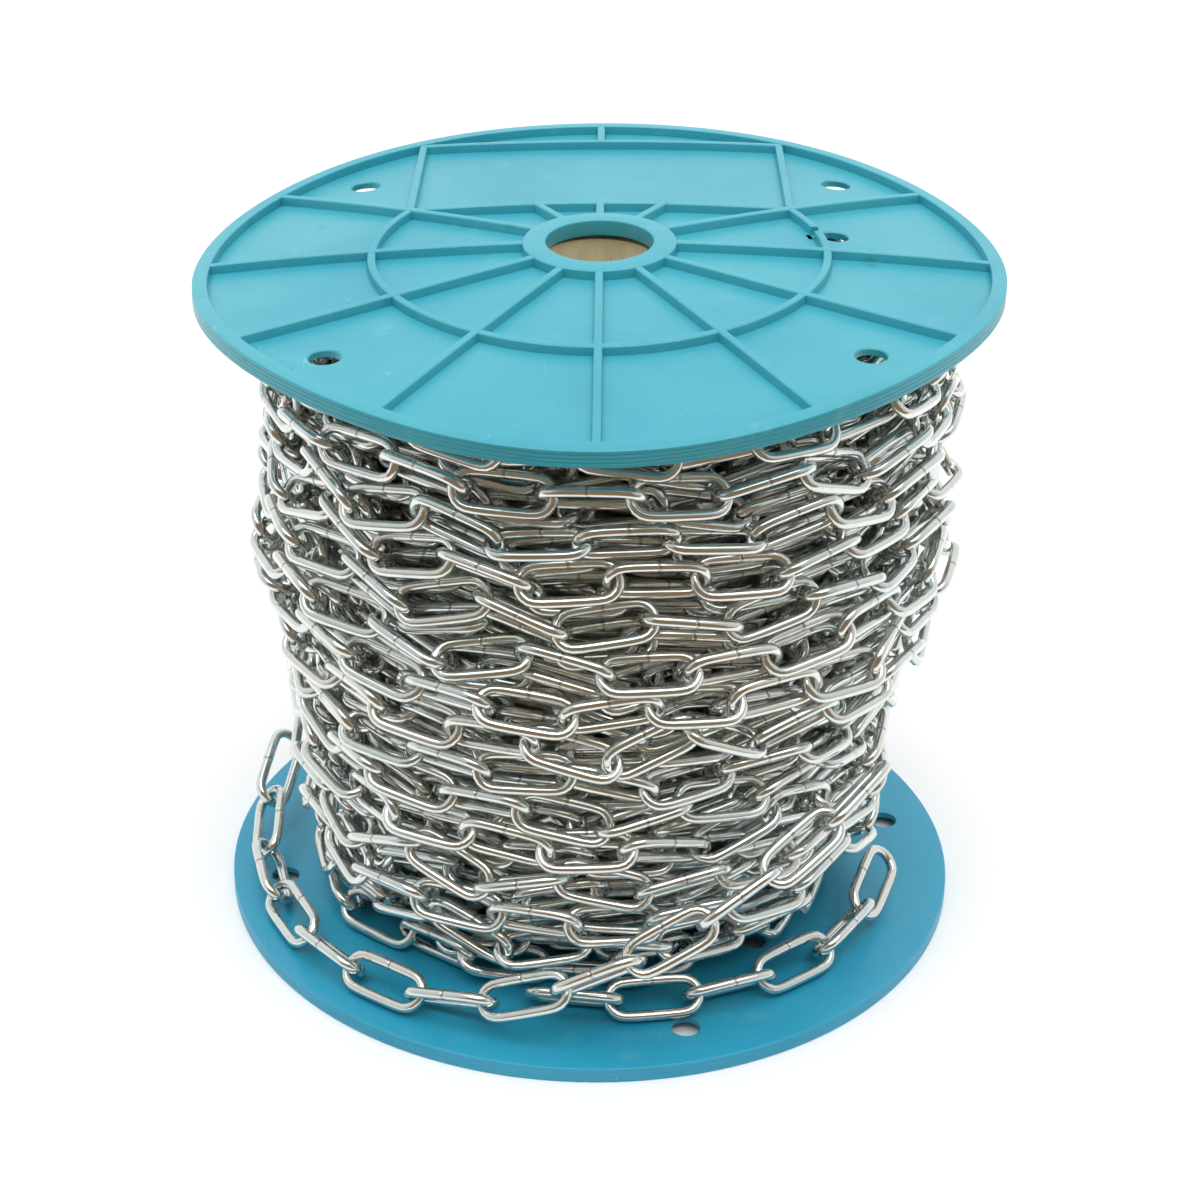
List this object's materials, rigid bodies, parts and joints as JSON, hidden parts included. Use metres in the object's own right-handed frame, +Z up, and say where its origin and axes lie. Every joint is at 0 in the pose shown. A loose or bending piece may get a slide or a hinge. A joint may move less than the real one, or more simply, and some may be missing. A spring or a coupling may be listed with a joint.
{
  "type": "reel of steel chain",
  "caption": "Plastic reel with ribbed round flanges on a cardboard tube, wound full of bright zinc-plated long-link steel chain, its loose end lying round the foot.",
  "frame": {"origin": "on the reel's axis, in the plane that the lower flange's ribs and rim stand on", "axes": "+Z up along the reel's axis; +Y towards the label panel of the upper flange, away from the viewer; +X to the viewer's right"},
  "size_m": [0.34, 0.34, 0.3109],
  "materials": {
    "blue_plastic": "moulded blue plastic with a low sheen, scuffed",
    "cardboard": "plain wound cardboard",
    "zinc_chain": "bright zinc plate, shiny"
  },
  "bodies": {
    "root": {"upper_flange": "blue_plastic", "lower_flange": "blue_plastic", "cardboard_tube": "cardboard", "chain_hidden_turns": "zinc_chain", "chain_outer_layer": "zinc_chain", "loose_link_01": "zinc_chain", "loose_link_02": "zinc_chain", "loose_link_03": "zinc_chain", "loose_link_04": "zinc_chain", "loose_link_05": "zinc_chain", "loose_link_06": "zinc_chain", "loose_link_07": "zinc_chain", "loose_link_08": "zinc_chain", "loose_link_09": "zinc_chain", "loose_link_10": "zinc_chain", "loose_link_11": "zinc_chain", "loose_link_12": "zinc_chain", "loose_link_13": "zinc_chain", "foot_link_01": "zinc_chain", "foot_link_02": "zinc_chain", "foot_link_03": "zinc_chain", "foot_link_04": "zinc_chain", "foot_link_05": "zinc_chain", "foot_link_06": "zinc_chain"}
  },
  "joints": []
}
